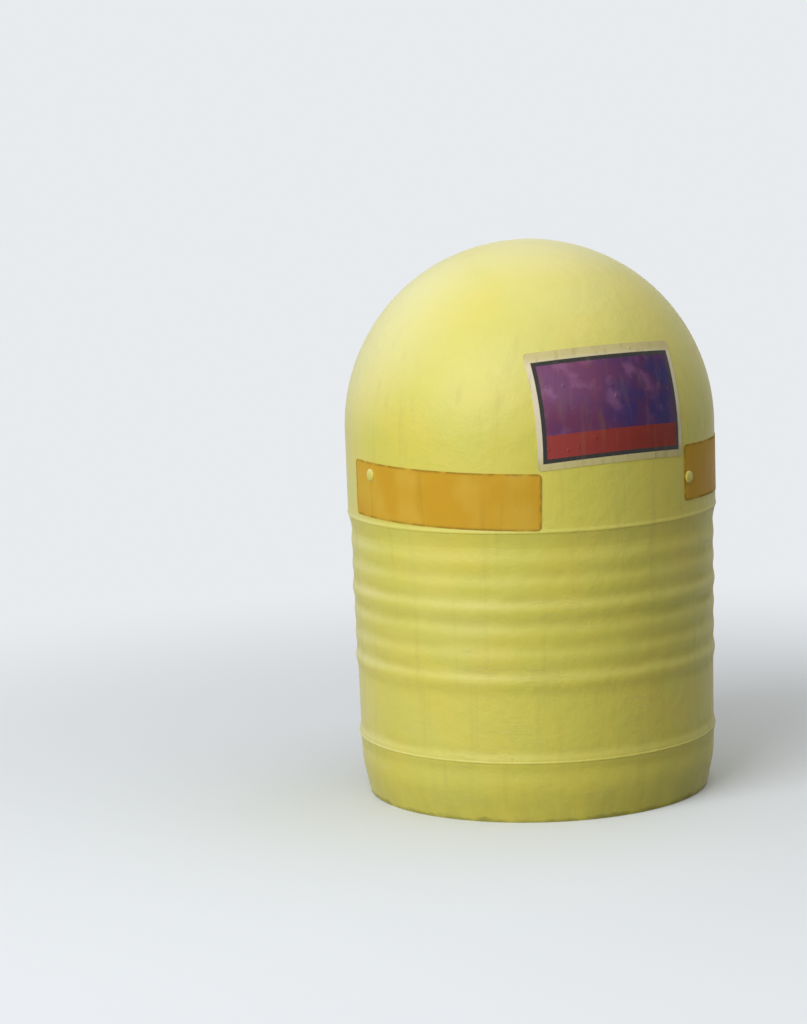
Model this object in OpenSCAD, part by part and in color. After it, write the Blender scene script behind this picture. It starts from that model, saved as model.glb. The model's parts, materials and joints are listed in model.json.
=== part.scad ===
// Navigation buoy: a domed cap over a ribbed float, with a ballasted tail and a mooring swivel.
// Millimetres, +Z up. Z = 0 is the waterline, on the buoy's axis, and -Y is the front.

/* [Domed cap] */
// Outside diameter of the dome and its skirt
cap_d = 680; // [600:5:760]
// Height of the dome's centre above the waterline
cap_centre_z = 675; // [640:5:720]
// Height of the straight skirt below the dome's centre
skirt_h = 155; // [130:5:170]
// Wall of the dome
dome_wall = 8; // [7:0.5:12]
// Wall of the skirt, thinner than the dome's, so that a ledge is left inside
skirt_wall = 5; // [3:0.5:6]
// Radius of the skirt's rounded lower edge
rim_round = 3; // [1:0.5:3]

/* [Float] */
// Gap between the float's neck and the cap's skirt
cap_fit = 0.6; // [0.3:0.1:1.5]
// Wall of the float
hull_wall = 8; // [6:0.5:12]
// Radius that the float's side loses from the skirt down to the turn
side_draft = 6; // [2:0.5:12]
// Height of the turn, where the side starts to curve in
turn_z = 75; // [50:5:85]
// Radius of the turn
turn_r = 150; // [100:10:200]
// Angle of the hull's taper below the turn
taper = 12; // [8:1:18]
// Depth of the flat bottom below the waterline
hull_depth = 300; // [250:10:340]
// Radius of the chine round the flat bottom
chine_r = 40; // [20:5:60]

/* [Ribs] */
// Number of ribs between the skirt and the plain belt
rib_n = 6; // [3:1:6]
// Height of the lowest of these ribs
rib_z = 255; // [240:1:265]
// Distance from rib to rib
rib_pitch = 43; // [38:1:45]
// Height of a rib, from edge to edge
rib_w = 30; // [20:1:34]
// How far a rib stands out
rib_proud = 2; // [1.5:0.5:6]
// How far every third rib stands out
rib_proud_bold = 3.5; // [2.5:0.5:8]
// Height of the bead above the turn
bead_z = 112; // [105:1:140]
// Height of the bead, from edge to edge
bead_w = 26; // [16:1:34]

/* [Reflective strips] */
// Width of the strips
tape_w = 100; // [50:5:105]
// Height of the strips' lower edge above the skirt's lower edge
tape_lift = 11; // [10:1:14]
// How much higher the strip on the right sits than the one in front
right_raise = 18; // [0:1:18]
// How much higher the strip at the back sits than the one in front
back_raise = 8; // [0:1:18]
// Angle that one strip covers
tape_arc = 70; // [30:5:100]
// Thickness of the sheet
tape_t = 0.8; // [0.4:0.1:1.5]
// Thickness of the glue under strips and notice
glue_t = 0.2; // [0.1:0.05:0.3]

/* [Notice] */
// Width of the blank notice
notice_w = 297; // [148:1:330]
// Height of the blank notice
notice_h = 210; // [105:1:230]
// Thickness of the notice
notice_t = 0.8; // [0.4:0.1:1.5]
// Place of its middle round the cap, from the front towards +X
notice_turn = 27; // [27:1:28]
// Place of its middle above the dome's centre, as an angle
notice_rise = 11.5; // [11:0.5:20]
// How far it is turned clockwise, as seen from outside
notice_lean = -1; // [-1.5:0.5:3]

/* [Keel] */
// Diameter of the plate under the hull
plate_d = 300; // [240:10:380]
// Thickness of the plate
plate_t = 10; // [6:1:16]
// Outside diameter of the tail tube
tube_d = 76; // [60:1:90]
// Wall of the tail tube
tube_wall = 5; // [3:0.5:8]
// Length of the tail tube
tube_l = 450; // [400:10:600]
// Reach of a gusset from the tube
gusset_reach = 88; // [50:2:100]
// Drop of a gusset below the plate
gusset_drop = 110; // [60:5:140]
// Thickness of a gusset
gusset_t = 8; // [5:1:12]
// Gap left where a gusset is welded to the tube
weld_gap = 0.2; // [0.1:0.1:0.5]
// Diameter of the flange at the tube's lower end
flange_d = 160; // [120:5:200]
// Thickness of the flange
flange_t = 12; // [8:1:20]

/* [Ballast] */
// Diameter of a disc
disc_d = 220; // [180:5:260]
// Thickness of a disc
disc_t = 31; // [24:1:40]
// Radial gap between a disc and the tube
disc_fit = 1; // [0.5:0.5:2]
// Chamfer round a disc
disc_chamfer = 4; // [1:0.5:6]
// Height of the clamp collar above the discs
collar_h = 28; // [20:1:40]
// Wall of the clamp collar
collar_wall = 14; // [8:1:20]
// Slit between the collar's halves
collar_slit = 6; // [3:1:10]

/* [Mooring lug] */
// Thickness of the lug's plate
lug_t = 16; // [10:1:20]
// Width of the lug, which is also twice the radius of its end
lug_w = 70; // [60:2:80]
// Distance from the flange down to the lug's hole
lug_drop = 62; // [55:1:80]
// Diameter of the round boss plates on both sides of the lug
boss_d = 60; // [50:1:64]
// Thickness of a boss plate
boss_t = 12; // [8:1:14]

/* [Mooring swivel] */
// Diameter of the pin through the lug
pin_d = 24; // [18:1:30]
// Radial gap of the pin and of the stem in their bores
pin_fit = 0.1; // [0.05:0.01:0.1]
// Gap between the boss plates and each cheek of the jaw
jaw_side_gap = 3; // [2:0.5:6]
// Thickness of a cheek
cheek_t = 14; // [10:1:20]
// Width of the jaw, which is also twice the radius of its upper end
jaw_w = 60; // [50:1:66]
// Diameter of the round bar that the jaw is cut from
jaw_bar_d = 92; // [88:1:110]
// Distance from the pin down to the inner face of the crown
jaw_depth = 58; // [56:1:80]
// Thickness of the crown
crown_t = 24; // [16:1:34]
// Width of the pin's nut across its flats
pin_nut_af = 36; // [30:1:46]
// Diameter of the pin's head
pin_head_d = 38; // [32:1:46]
// Thickness of the pin's head
pin_head_t = 9; // [6:1:14]
// Thickness of the pin's nut
pin_nut_t = 16; // [10:1:22]
// Diameter of the stem through the crown
stem_d = 20; // [16:1:24]
// Width of the stem's nut across its flats
stem_nut_af = 30; // [26:1:34]
// Thickness of the stem's nut
stem_nut_t = 14; // [10:1:16]
// Play of the stem, above and below the crown
stem_play = 0.3; // [0.2:0.1:0.5]
// Diameter of the collar under the crown
stem_collar_d = 44; // [36:1:56]
// Thickness of that collar
stem_collar_t = 8; // [5:1:12]
// Diameter of the shank below the collar
shank_d = 30; // [24:1:40]
// Distance from the collar down to the middle of the eye
eye_drop = 58; // [50:1:80]
// Inside diameter of the eye
eye_bore_d = 32; // [24:1:40]
// Wall round the eye
eye_wall = 22; // [14:1:26]
// Thickness of the eye
eye_t = 26; // [20:1:34]

/* [Hidden] */
$fn = 96;

YELLOW = "#dcd46a";
ORANGE = "#cda53a";
NOTICE = "#5a3a60";
GALVANISED = "#9aa0a3";
IRON = "#4a4745";

// How far a cut runs past the face that it opens
past = 1;

// Cap
cap_r = cap_d / 2;
skirt_z = cap_centre_z - skirt_h;
neck_r = cap_r - skirt_wall - cap_fit;

// Float: the turn and the chine are arcs that run into the lines beside them
draft_angle = atan(side_draft / (skirt_z - turn_z));
turn_c = [neck_r - side_draft - turn_r * cos(draft_angle), turn_z + turn_r * sin(draft_angle)];
turn_end = turn_c + turn_r * [cos(taper), -sin(taper)];
chine_cz = chine_r - hull_depth;
chine_c = [turn_end[0] + (sin(taper) * (chine_cz - turn_end[1]) - chine_r) / cos(taper), chine_cz];

// One row a rib: height, width and how far it stands out of the side
RIB_Z = 0;
RIB_W = 1;
RIB_PROUD = 2;
ribs = concat(
    [[bead_z, bead_w, rib_proud_bold]],
    [for (i = [0:rib_n - 1]) [rib_z + i * rib_pitch, rib_w, i % 3 == 0 ? rib_proud_bold : rib_proud]]
);

// One row a strip, each laid by hand: place of its middle round the cap, from the front towards +X,
// its lean, and how much higher it sits than the first
STRIP_TURN = 0;
STRIP_LEAN = 1;
STRIP_RAISE = 2;
strips = [[-32, -1.5, 0], [88.5, -1, right_raise], [210, 0.5, back_raise]];

// Keel, ballast and swivel, from the hull down
disc_n = 4;
plate_z = -hull_depth - plate_t;
flange_z = plate_z - tube_l - flange_t;
pin_z = flange_z - lug_drop;
jaw_inside = lug_t + 2 * boss_t + 2 * jaw_side_gap;
jaw_outside = jaw_inside + 2 * cheek_t;
crown_z = pin_z - jaw_depth;
eye_z = crown_z - crown_t - stem_play - stem_collar_t - eye_drop;

// Points on an arc round the point c, from the angle a0 to the angle a1
function arc(c, r, a0, a1, steps) =
    [for (i = [0:steps]) let (a = a0 + (a1 - a0) * i / steps) c + r * [cos(a), sin(a)]];

// Radius of the float's side at the height z
function side_r(z) = neck_r - (skirt_z - z) * side_draft / (skirt_z - turn_z);

// Half outline of the float, moved in by inset
function float_outline(inset) = concat(
    [[0, inset - hull_depth]],
    arc(chine_c, chine_r - inset, -90, -taper, 10),
    arc(turn_c, turn_r - inset, -taper, -draft_angle, 4),
    [[neck_r - inset, skirt_z], [neck_r - inset, cap_centre_z - inset], [0, cap_centre_z - inset]]
);

// Outline of the cap's sheet between the offsets lo and hi from its outside
module cap_band(lo, hi, low_z, high_angle) {
    translate([0, cap_centre_z]) intersection() {
        difference() {
            circle(cap_r + hi);
            circle(cap_r + lo);
        }
        polygon([[0, 0], [2 * cap_r, 0], [2 * cap_r * cos(high_angle), 2 * cap_r * sin(high_angle)]]);
    }
    translate([cap_r + lo, low_z]) square([hi - lo, cap_centre_z - low_z]);
}

// A round dome on a straight skirt that sleeves over the float's neck.
// The ledge between the two walls sits on the float's deck.
module dome_cap() {
    color(YELLOW) rotate_extrude() difference() {
        union() {
            translate([0, cap_centre_z]) intersection() {
                difference() {
                    circle(cap_r);
                    circle(cap_r - dome_wall);
                }
                square(cap_r);
            }
            translate([cap_r - skirt_wall, skirt_z]) square([skirt_wall, skirt_h]);
        }
        translate([cap_r - rim_round, skirt_z]) difference() {
            square(2 * rim_round, center = true);
            translate([0, rim_round]) circle(rim_round);
            translate([-rim_round, 0]) square(2 * rim_round, center = true);
        }
    }
}

// A hollow float with round ribs, a bead, a turned-in bilge and a flat bottom
module float_body() {
    color(YELLOW) rotate_extrude() difference() {
        union() {
            polygon(float_outline(0));
            for (rib = ribs) rib_section(rib);
        }
        polygon(float_outline(hull_wall));
    }
}

// Round section of a rib, sunk into the wall so that only the rib stands out
module rib_section(rib) {
    half = rib[RIB_W] / 2;
    r = (half * half + rib[RIB_PROUD] * rib[RIB_PROUD]) / (2 * rib[RIB_PROUD]);
    translate([side_r(rib[RIB_Z]) + rib[RIB_PROUD] - r, rib[RIB_Z]]) circle(r);
}

// A strip of reflective sheet, laid by hand round the skirt a little out of level
module tape_strip(i) {
    strip = strips[i - 1];
    reach = (cap_r + glue_t + tape_t) * sin(tape_arc / 2);
    middle_z = skirt_z + tape_lift + strip[STRIP_RAISE] + tape_w / 2;
    color(ORANGE) rotate([0, 0, strip[STRIP_TURN] - 90]) intersection() {
        rotate([0, 0, -tape_arc]) rotate_extrude(angle = 2 * tape_arc)
            translate([cap_r + glue_t, skirt_z]) square([tape_t, skirt_h]);
        translate([0, 0, middle_z]) rotate([strip[STRIP_LEAN], 0, 0])
            translate([0, -reach, -tape_w / 2]) cube([cap_r + tape_w, 2 * reach, tape_w]);
    }
}

// A blank notice with straight edges, wrapped over the dome and the top of the skirt
module notice_panel() {
    wrap = 180 / (PI * cap_r);
    half_w = cap_r * sin(notice_w * wrap / 2);
    half_h = cap_r * sin(notice_h * wrap / 2);
    top = notice_rise + notice_h * wrap;
    color(NOTICE) intersection() {
        rotate([0, 0, notice_turn - 90 - notice_w * wrap]) rotate_extrude(angle = 2 * notice_w * wrap)
            cap_band(glue_t, glue_t + notice_t, skirt_z + tape_lift, top);
        translate([0, 0, cap_centre_z]) rotate([0, 0, notice_turn - 90]) rotate([0, -notice_rise, 0])
            rotate([-notice_lean, 0, 0]) translate([0, -half_w, -half_h])
                cube([2 * cap_r, 2 * half_w, 2 * half_h]);
    }
}

// A round plate bolted to the hull's flat bottom
module keel_plate() {
    color(GALVANISED) translate([0, 0, plate_z]) cylinder(d = plate_d, h = plate_t);
}

// A tail tube that carries the ballast
module keel_tube() {
    color(GALVANISED) translate([0, 0, plate_z - tube_l]) difference() {
        cylinder(d = tube_d, h = tube_l);
        translate([0, 0, -past]) cylinder(d = tube_d - 2 * tube_wall, h = tube_l + 2 * past);
    }
}

// A cut-off triangle between the plate and the tube
module keel_gusset(i) {
    heel = gusset_t;
    inner = tube_d / 2 + weld_gap;
    color(GALVANISED) rotate([0, 0, 45 + 90 * i]) translate([0, gusset_t / 2, plate_z])
        rotate([90, 0, 0]) linear_extrude(gusset_t) polygon([
            [inner, 0], [inner + gusset_reach, 0], [inner + gusset_reach, -heel],
            [inner + heel, -gusset_drop], [inner, -gusset_drop]
        ]);
}

// A flange under the tube, for the discs to rest on
module end_flange() {
    color(GALVANISED) translate([0, 0, flange_z]) cylinder(d = flange_d, h = flange_t);
}

// A cast disc, threaded on the tube
module ballast_disc(i) {
    bore = tube_d / 2 + disc_fit;
    rim = disc_d / 2;
    color(IRON) translate([0, 0, flange_z + flange_t + (i - 1) * disc_t]) rotate_extrude() polygon([
        [bore, 0], [rim - disc_chamfer, 0], [rim, disc_chamfer],
        [rim, disc_t - disc_chamfer], [rim - disc_chamfer, disc_t], [bore, disc_t]
    ]);
}

// A split collar clamped on the tube, which keeps the discs down
module ballast_collar() {
    r = tube_d / 2 + weld_gap;
    ear = 2 * collar_wall;
    color(GALVANISED) translate([0, 0, flange_z + flange_t + disc_n * disc_t]) difference() {
        union() {
            cylinder(r = r + collar_wall, h = collar_h);
            translate([-r - collar_wall - ear / 2, -collar_slit / 2 - collar_wall, 0])
                cube([2 * r + 2 * collar_wall + ear, collar_slit + 2 * collar_wall, collar_h]);
        }
        translate([0, 0, -past]) cylinder(r = r, h = collar_h + 2 * past);
        translate([-disc_d, -collar_slit / 2, -past]) cube([2 * disc_d, collar_slit, collar_h + 2 * past]);
    }
}

// A round-ended plate under the flange, with a boss plate on each side of its hole
module mooring_lug() {
    color(GALVANISED) difference() {
        union() {
            lug_plate(lug_t, lug_w);
            translate([0, 0, pin_z]) rotate([0, 90, 0])
                cylinder(d = boss_d, h = lug_t + 2 * boss_t, center = true);
        }
        pin_bore();
    }
}

// The lug's plate, of thickness t and width w, down to its round end
module lug_plate(t, w) {
    translate([-t / 2, 0, pin_z]) rotate([90, 0, 90]) linear_extrude(t) union() {
        circle(d = w);
        translate([-w / 2, 0]) square([w, lug_drop]);
    }
}

// Bore for the pin, right through the lug and the jaw
module pin_bore() {
    translate([0, 0, pin_z]) rotate([0, 90, 0])
        cylinder(d = pin_d + 2 * pin_fit, h = 2 * jaw_outside, center = true);
}

// A fork cut from round bar: two cheeks on the pin and a crown with the stem's bore
module swivel_jaw() {
    low_z = crown_z - crown_t;
    color(GALVANISED) difference() {
        intersection() {
            translate([0, 0, low_z]) cylinder(d = jaw_bar_d, h = pin_z + jaw_w - low_z);
            translate([-jaw_outside / 2, 0, pin_z]) rotate([90, 0, 90]) linear_extrude(jaw_outside) union() {
                circle(d = jaw_w);
                translate([-jaw_w / 2, low_z - pin_z]) square([jaw_w, pin_z - low_z]);
            }
        }
        translate([-jaw_inside / 2, -jaw_w, crown_z]) cube([jaw_inside, 2 * jaw_w, jaw_depth + jaw_w]);
        pin_bore();
        translate([0, 0, low_z - past]) cylinder(d = stem_d + 2 * pin_fit, h = crown_t + 2 * past);
    }
}

// A headed pin through cheeks and lug
module jaw_pin() {
    color(GALVANISED) translate([-jaw_outside / 2, 0, pin_z]) rotate([0, 90, 0]) union() {
        cylinder(d = pin_d, h = jaw_outside + pin_nut_t + pin_d / 4);
        translate([0, 0, -pin_head_t]) cylinder(d = pin_head_d, h = pin_head_t);
    }
}

// The nut on the pin's threaded end
module jaw_pin_nut() {
    color(GALVANISED) translate([jaw_outside / 2, 0, pin_z]) rotate([0, 90, 0])
        hex_nut(pin_nut_af, pin_nut_t, pin_d);
}

// A six-sided nut, with the bore of the thread it turns on
module hex_nut(af, t, thread_d) {
    difference() {
        cylinder(d = af / cos(30), h = t, $fn = 6);
        translate([0, 0, -past]) cylinder(d = thread_d + 2 * pin_fit, h = t + 2 * past);
    }
}

// A forged eye with a shank, a collar under the crown and a stem through it
module swivel_eye() {
    r = eye_bore_d / 2;
    edge = eye_wall / 4;
    collar_z = eye_z + eye_drop;
    color(GALVANISED) union() {
        translate([0, 0, eye_z]) rotate([0, 90, 0]) rotate_extrude() polygon([
            [r, edge - eye_t / 2], [r + edge, -eye_t / 2], [r + eye_wall - edge, -eye_t / 2],
            [r + eye_wall, edge - eye_t / 2], [r + eye_wall, eye_t / 2 - edge],
            [r + eye_wall - edge, eye_t / 2], [r + edge, eye_t / 2], [r, eye_t / 2 - edge]
        ]);
        translate([0, 0, eye_z + r + eye_wall / 2]) cylinder(d = shank_d, h = eye_drop - r - eye_wall / 2);
        translate([0, 0, collar_z]) cylinder(d = stem_collar_d, h = stem_collar_t);
        translate([0, 0, collar_z]) cylinder(d = stem_d, h = crown_z + stem_play + stem_nut_t - collar_z);
    }
}

// The nut that holds the stem up, inside the jaw
module swivel_nut() {
    color(GALVANISED) translate([0, 0, crown_z + stem_play]) hex_nut(stem_nut_af, stem_nut_t, stem_d);
}

dome_cap();
float_body();
tape_strip(1);  // tape_strip_1
tape_strip(2);  // tape_strip_2
tape_strip(3);  // tape_strip_3
notice_panel();
keel_plate();
keel_tube();
keel_gusset(1);  // keel_gusset_1
keel_gusset(2);  // keel_gusset_2
keel_gusset(3);  // keel_gusset_3
keel_gusset(4);  // keel_gusset_4
end_flange();
ballast_disc(1);  // ballast_disc_1
ballast_disc(2);  // ballast_disc_2
ballast_disc(3);  // ballast_disc_3
ballast_disc(4);  // ballast_disc_4
ballast_collar();
mooring_lug();
swivel_jaw();
jaw_pin();
jaw_pin_nut();
swivel_eye();
swivel_nut();
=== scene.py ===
# A navigation buoy afloat: a domed cap over a ribbed plastic float, with a ballasted steel tail and a
# mooring swivel below the water. Metres, +Z up, the waterline at Z = 0 and the front at -Y.
import json
import math

import bmesh
import bpy
import numpy as np
from mathutils import Matrix, Vector, noise


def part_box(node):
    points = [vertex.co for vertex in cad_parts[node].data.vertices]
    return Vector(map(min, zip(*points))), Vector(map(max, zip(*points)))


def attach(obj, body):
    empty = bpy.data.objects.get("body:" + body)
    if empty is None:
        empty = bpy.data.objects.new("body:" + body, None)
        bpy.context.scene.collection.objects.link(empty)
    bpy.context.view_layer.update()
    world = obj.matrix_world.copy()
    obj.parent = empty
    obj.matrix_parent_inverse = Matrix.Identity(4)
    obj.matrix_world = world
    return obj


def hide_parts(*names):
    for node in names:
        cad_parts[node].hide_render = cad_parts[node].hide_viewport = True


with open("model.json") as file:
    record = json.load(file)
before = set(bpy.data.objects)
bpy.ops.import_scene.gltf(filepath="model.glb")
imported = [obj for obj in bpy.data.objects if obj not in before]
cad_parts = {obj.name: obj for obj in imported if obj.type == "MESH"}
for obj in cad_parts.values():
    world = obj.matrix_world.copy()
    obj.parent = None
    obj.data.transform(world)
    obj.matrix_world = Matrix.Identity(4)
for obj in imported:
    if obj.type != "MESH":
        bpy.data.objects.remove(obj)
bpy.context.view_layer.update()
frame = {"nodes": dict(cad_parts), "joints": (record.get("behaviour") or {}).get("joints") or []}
nodes = frame["nodes"]


# Float
# A hollow skin of yellow polyethylene, rotomoulded in one piece, with round ribs that stiffen its side.
# The halves of its mould met on the bead, where a thin trimmed line is left. The sun has bleached it,
# and its top and upper left side are painted paler still, as a painted sky sheen and painted light.
# Water and dust run down it in streaks, dust and painted shade darken the feet of its ribs, painted
# shade lies in the neck and on the sealant under the cap, and a line of scum sits on the waterline.
class Wire:
    """An output of a node that takes part in formulas: each operator adds its own Math node."""

    def __init__(self, tree, socket=None):
        self.tree = tree
        self.socket = socket

    def feed(self, node, inputs):
        """Sets or links a node's inputs, given by name or place."""
        for key, value in dict(inputs).items():
            if isinstance(value, Wire):
                self.tree.links.new(value.socket, node.inputs[key])
            else:
                node.inputs[key].default_value = value

    def add(self, kind, inputs=(), output=0, **settings):
        """Adds a node of any kind, with its settings and its inputs, and returns one output."""
        node = self.tree.nodes.new(kind)
        for name, value in settings.items():
            setattr(node, name, value)
        self.feed(node, inputs)
        return Wire(self.tree, node.outputs[output])

    def math(self, operation, *others):
        return self.add("ShaderNodeMath", enumerate((self, *others)), operation=operation)

    def __add__(self, other):
        return self.math("ADD", other)

    def __sub__(self, other):
        return self.math("SUBTRACT", other)

    def __rsub__(self, other):
        return self.math("MULTIPLY_ADD", -1.0, other)

    def __mul__(self, other):
        return self.math("MULTIPLY", other)

    def __truediv__(self, other):
        return self.math("DIVIDE", other)

    def __rtruediv__(self, other):
        return Wire(self.tree).add("ShaderNodeMath", {0: other, 1: self}, operation="DIVIDE")

    def __mod__(self, other):
        return self.math("FLOORED_MODULO", other)

    def __abs__(self):
        return self.math("ABSOLUTE")

    __radd__ = __add__
    __rmul__ = __mul__

    def rise(self, low, high):
        """0 below low and 1 above high, with a soft step between. It falls where low is the larger."""
        limits = {"Value": self, "From Min": low, "From Max": high}
        return self.add("ShaderNodeMapRange", limits, interpolation_type="SMOOTHSTEP")

    def mix(self, plain, other):
        """The plain colour where this is 0, and the other where it is 1."""
        return self.add("ShaderNodeMix", {0: self, 6: plain, 7: other}, output=2, data_type="RGBA")

    def split(self):
        """The three parts of a vector."""
        part = self.add("ShaderNodeSeparateXYZ", {0: self})
        return [Wire(self.tree, socket) for socket in part.socket.node.outputs]

    def cloud(self, size, stretch=(1, 1, 1), detail=3.0, seed=0.0):
        """Soft noise about 0.5 in lumps of that size, drawn out by stretch."""
        scale = [1 / (size * factor) for factor in stretch]
        spot = self.add("ShaderNodeVectorMath", {0: self, 1: scale, 2: [seed] * 3},
                        operation="MULTIPLY_ADD")
        return self.add("ShaderNodeTexNoise", {"Vector": spot, "Scale": 1.0, "Detail": detail})

    def bump(self, depth, below=None):
        """A normal with this as its relief, of that depth in metres, on top of another relief."""
        inputs = {"Height": self, "Distance": depth}
        if below:
            inputs["Normal"] = below
        return self.add("ShaderNodeBump", inputs)


def paint(red, green, blue):
    """A colour given as it looks on a screen, from 0 to 255."""
    return [((c / 255 + 0.055) / 1.055) ** 2.4 for c in (red, green, blue)] + [1.0]


def new_finish(name):
    """A material, its shader, the start of its formulas, and the place on the object."""
    material = bpy.data.materials.new(name)
    material.use_nodes = True
    start = Wire(material.node_tree)
    place = start.add("ShaderNodeTexCoord", output="Object")
    return material, material.node_tree.nodes["Principled BSDF"], start, place


yellow, shader, start, place = new_finish("yellow_polyethylene")
height = place.split()[2]
facing_right, _, upwards = start.add("ShaderNodeNewGeometry", output="Normal").split()
hollow = start.add("ShaderNodeAttribute", output="Fac", attribute_name="hollow")
warm_patches = place.cloud(0.11, detail=2.0, seed=4.0).rise(0.35, 0.68)
# Painted light: faces turned up and towards the left are painted paler, as the lamp at the upper left lights
# them
painted_light_from_left = (upwards * 0.8 - facing_right).rise(0.74, 1.28) * 0.6
# Faces turned up are painted paler, most at the top of the dome, as a painted sky sheen; real bleach in
# random patches is added next
bleach_and_painted_light = upwards.rise(-0.1, 0.5) * 0.2 + (upwards.rise(0.78, 1.0) * 0.5).math("MAXIMUM", painted_light_from_left)
bleach_and_painted_light = bleach_and_painted_light + place.cloud(0.3, seed=9.0).rise(0.45, 0.75) * 0.12
streaks = place.cloud(0.022, (1, 1, 16), 5.0).rise(0.52, 0.8) * (0.8 - upwards).rise(0.0, 0.5)
# Dust and painted shade: the feet of the ribs, the neck under the cap and the sealant under the rim are
# painted darker
dust_and_painted_shade = hollow * place.cloud(0.09, (1, 1, 0.5)).rise(0.3, 0.65)
rub_area = place.cloud(0.12, (1, 1, 0.5), seed=7.0).rise(0.52, 0.66) * height.rise(0.6, 0.45)
rubs = place.cloud(0.05, (1, 1, 0.02), 2.0).rise(0.6, 0.68) * rub_area
ragged = height + place.cloud(0.03, (1, 1, 0.6)) * 0.022 - 0.011
splash = ragged.rise(0.11, 0.005) * place.cloud(0.05, (1, 1, 2)).rise(0.25, 0.75)
scum = ragged.rise(0.009, 0.0)
slime = ragged.rise(0.0, -0.03) * (0.55 + place.cloud(0.12, (1, 1, 1.5), 4.0) * 0.5)
weed = ragged.rise(-0.02, -0.16) * place.cloud(0.022, (1, 1, 2.2), 6.0).rise(0.5, 0.66)
weed = weed * place.cloud(0.14, seed=3.0).rise(0.38, 0.62)
colour = warm_patches.mix(paint(208, 201, 83), paint(214, 201, 81))
# Real bleach, with the painted light and the painted sky sheen on the top and the left side
colour = bleach_and_painted_light.mix(colour, paint(230, 226, 166))
colour = (streaks * 0.2).mix(colour, paint(166, 152, 84))
# Dust at the rib feet, and painted shade there and under the cap
colour = (dust_and_painted_shade * 0.2).mix(colour, paint(146, 134, 66))
colour = (rubs * 0.22).mix(colour, paint(234, 228, 170))
colour = (splash * 0.3).mix(colour, paint(150, 146, 72))
colour = (scum * 0.5).mix(colour, paint(92, 92, 48))
colour = (slime * 0.6).mix(colour, paint(122, 120, 52))
colour = (weed * 0.7).mix(colour, paint(78, 84, 40))
roughness = 0.44 + place.cloud(0.07, seed=2.0) * 0.14 + dust_and_painted_shade * 0.2 + scum * 0.25 + rubs * 0.2
peel = place.cloud(0.0045, detail=2.0).bump(0.0004)
relief = (rubs * -1.0).bump(0.0002, place.cloud(0.03, detail=2.0).bump(0.0016, peel))
start.feed(shader, {"Base Color": colour, "Roughness": roughness, "Normal": relief,
                    "Sheen Weight": 0.3, "Sheen Roughness": 0.35})


def new_rule(name, sizes):
    """A node tree for a Geometry Nodes modifier, with a named input for each size."""
    tree = bpy.data.node_groups.new(name, "GeometryNodeTree")
    for label, kind in sizes.items():
        tree.interface.new_socket(label, in_out="INPUT", socket_type="NodeSocket" + kind)
    tree.interface.new_socket("Geometry", in_out="OUTPUT", socket_type="NodeSocketGeometry")
    given = tree.nodes.new("NodeGroupInput")
    return tree, {label: Wire(tree, given.outputs[label]) for label in sizes}


def close_rule(tree, shape, material):
    """Ends a tree: its instances made real, with their material."""
    real = shape.add("GeometryNodeRealizeInstances", {0: shape})
    dressed = real.add("GeometryNodeSetMaterial", {"Geometry": real, "Material": material})
    tree.links.new(dressed.socket, tree.nodes.new("NodeGroupOutput").inputs[0])


def applied(piece):
    """The piece with its modifiers worked into a plain mesh, and its round faces shaded smooth."""
    bpy.context.view_layer.update()
    graph = bpy.context.evaluated_depsgraph_get()
    mesh = bpy.data.meshes.new_from_object(piece.evaluated_get(graph), depsgraph=graph)
    piece.modifiers.clear()
    piece.data = mesh
    mesh.name = piece.name
    mesh.shade_smooth()
    mesh.set_sharp_from_angle(angle=math.radians(35))
    return piece


def new_piece(name, points=(), edges=(), faces=()):
    """An object in the scene, with its place in its mesh."""
    mesh = bpy.data.meshes.new(name)
    mesh.from_pydata(points, edges, faces)
    piece = bpy.data.objects.new(name, mesh)
    bpy.context.scene.collection.objects.link(piece)
    return piece


def made_by(name, tree, sizes):
    """The plain mesh that a tree gives for these sizes, as a piece."""
    piece = new_piece(name)
    modifier = piece.modifiers.new(tree.name, "NODES")
    modifier.node_group = tree
    for item in tree.interface.items_tree:
        if item.in_out == "INPUT":
            modifier[item.identifier] = sizes[item.name]
    applied(piece)
    for helper in sizes.values():
        if isinstance(helper, bpy.types.Object):
            bpy.data.objects.remove(helper)
    return piece


def outwards(piece):
    """Turns every face of a closed piece outwards."""
    shape = bmesh.new()
    shape.from_mesh(piece.data)
    bmesh.ops.recalc_face_normals(shape, faces=shape.faces)
    shape.to_mesh(piece.data)
    shape.free()
    return piece


turning, given = new_rule("Turned skin", {
    "Outline": "Object", "Steps round": "Int", "Material": "Material"})
outline = given["Outline"].add("GeometryNodeObjectInfo", {"Object": given["Outline"]}, "Geometry")
rows = outline.add("GeometryNodeAttributeDomainSize", {"Geometry": outline}, "Point Count")
grid = outline.add("GeometryNodeMeshGrid", {"Vertices X": given["Steps round"] + 1, "Vertices Y": rows})
index = outline.add("GeometryNodeInputIndex")
row = index % rows
step = (index / rows).math("FLOOR")
read = {"Geometry": outline, "Index": row}
spot = outline.add("GeometryNodeSampleIndex",
                   {**read, "Value": outline.add("GeometryNodeInputPosition")}, data_type="FLOAT_VECTOR")
depth = outline.add("GeometryNodeSampleIndex",
                    {**read, "Value": outline.add("GeometryNodeInputNamedAttribute", {"Name": "hollow"})})
spun = outline.add("ShaderNodeVectorRotate",
                   {"Vector": spot, "Angle": step * math.tau / given["Steps round"]},
                   rotation_type="Z_AXIS")
skin = grid.add("GeometryNodeSetPosition", {"Geometry": grid, "Position": spun})
skin = skin.add("GeometryNodeStoreNamedAttribute", {"Geometry": skin, "Name": "hollow", "Value": depth})
skin = skin.add("GeometryNodeMergeByDistance", {"Geometry": skin, "Distance": 0.00001})
close_rule(turning, skin, given["Material"])


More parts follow.
